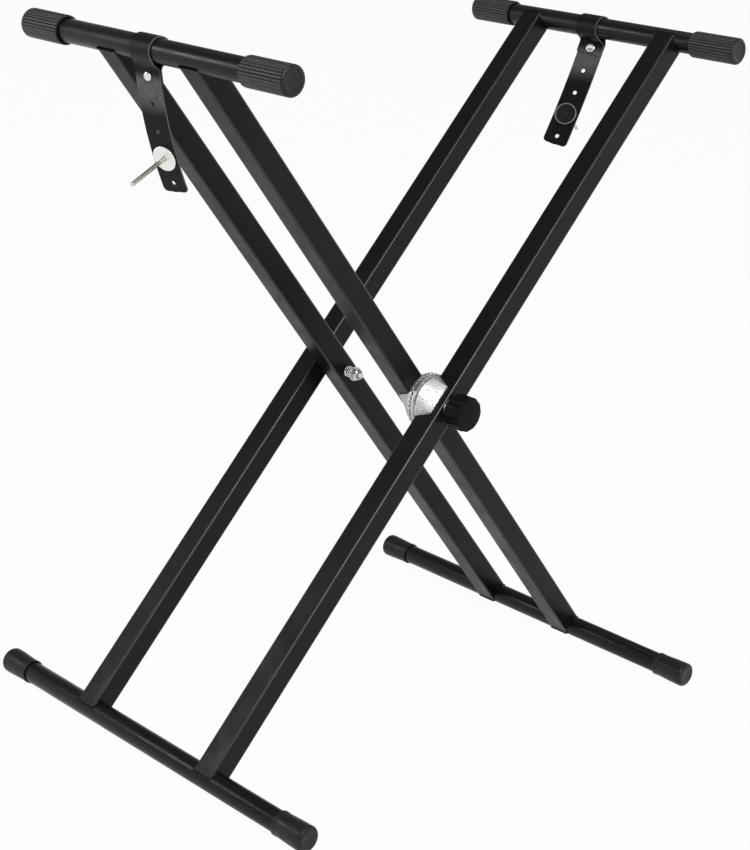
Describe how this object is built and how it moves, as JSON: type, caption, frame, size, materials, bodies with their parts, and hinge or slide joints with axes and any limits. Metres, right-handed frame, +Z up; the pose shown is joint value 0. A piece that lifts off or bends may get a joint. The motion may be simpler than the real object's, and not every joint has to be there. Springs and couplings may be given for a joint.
{
  "type": "double x keyboard stand",
  "caption": "Folding keyboard stand of two crossed square-tube frames with ribbed rests, rubber feet, a toothed locking pivot with a knob, and leather straps.",
  "frame": {"origin": "on the floor, in the middle of the stand's overall length and width", "axes": "+Z up; X across the X shape of the frames; +Y along the bars, the knob's side being -Y"},
  "size_m": [0.7495, 0.536, 0.8071],
  "materials": {
    "black_paint": "semi-gloss black coating",
    "ribbed_rubber": "matt black, ribbed lengthwise",
    "foot_rubber": "smooth satin black",
    "cast_metal": "rough as-cast silver with bright cut faces",
    "zinc_steel": "zinc plated",
    "spring_steel": "bright drawn wire",
    "knob_plastic": "satin black moulding",
    "insert_brass": "machined",
    "strap_leather": "black with a fine grain and a soft sheen",
    "rivet_nickel": "polished nickel plate",
    "screw_nickel": "nickel plated, slightly warm",
    "washer_zinc": "bright zinc plate"
  },
  "bodies": {
    "outer_frame": {"outer_front_leg": "black_paint", "outer_front_top_cap": "ribbed_rubber", "outer_front_foot_cap": "foot_rubber", "outer_rear_leg": "black_paint", "outer_rear_top_cap": "ribbed_rubber", "outer_rear_foot_cap": "foot_rubber", "outer_top_bar": "black_paint", "outer_foot_bar": "black_paint", "outer_gear_half": "cast_metal", "knob_washer": "zinc_steel", "rear_bolt": "zinc_steel", "rear_spring": "spring_steel", "rear_washer": "zinc_steel", "rear_nut": "zinc_steel", "rear_spacer": "knob_plastic"},
    "release_carriage": {"gear_bolt": "zinc_steel"},
    "inner_frame": {"inner_front_leg": "black_paint", "inner_front_top_cap": "ribbed_rubber", "inner_front_foot_cap": "foot_rubber", "inner_rear_leg": "black_paint", "inner_rear_top_cap": "ribbed_rubber", "inner_rear_foot_cap": "foot_rubber", "inner_top_bar": "black_paint", "inner_foot_bar": "black_paint", "inner_gear_half": "cast_metal"},
    "lock_knob": {"lock_knob": "knob_plastic", "knob_insert": "insert_brass"},
    "left_strap": {"left_strap": "strap_leather", "left_rivet": "rivet_nickel"},
    "right_strap": {"right_strap": "strap_leather", "right_rivet": "rivet_nickel"},
    "left_clamp": {"left_clamp_screw": "screw_nickel", "left_clamp_washer": "washer_zinc"},
    "right_clamp": {"right_clamp_screw": "screw_nickel", "right_clamp_washer": "washer_zinc"}
  },
  "joints": [
    {"name": "knob_turn", "type": "hinge", "parent": "outer_frame", "child": "lock_knob", "pos_m": [0, -0.12, 0.3881], "axis": [0, -1, 0], "range_deg": [0, 777.6]},
    {"name": "release_slide", "type": "slide", "parent": "outer_frame", "child": "release_carriage", "axis": [0, 1, 0], "range_m": [0, 0.0027], "deforming": ["rear_spring"]},
    {"name": "fold", "type": "hinge", "parent": "release_carriage", "child": "inner_frame", "pos_m": [0, 0, 0.3881], "axis": [0, 1, 0], "range_deg": [-67, 77.4]},
    {"name": "left_strap_swing", "type": "hinge", "parent": "inner_frame", "child": "left_strap", "pos_m": [-0.35306, 0.006, 0.79139], "axis": [0, 1, 0], "range_deg": [-50, 70]},
    {"name": "right_strap_swing", "type": "hinge", "parent": "outer_frame", "child": "right_strap", "pos_m": [0.35306, 0.0135, 0.79139], "axis": [0, -1, 0], "range_deg": [-50, 70]},
    {"name": "left_clamp_spin", "type": "hinge", "parent": "left_strap", "child": "left_clamp", "pos_m": [-0.3281, 0.006, 0.68021], "axis": [-0.9048, -0.2079, -0.3717], "continuous": true},
    {"name": "right_clamp_spin", "type": "hinge", "parent": "right_strap", "child": "right_clamp", "pos_m": [0.3178, 0.0135, 0.68378], "axis": [0.8411, 0.342, -0.4189], "continuous": true}
  ],
  "couplings": [
    {"joint": "knob_turn", "follows": "release_slide", "rad_per_m": 5026.5}
  ]
}
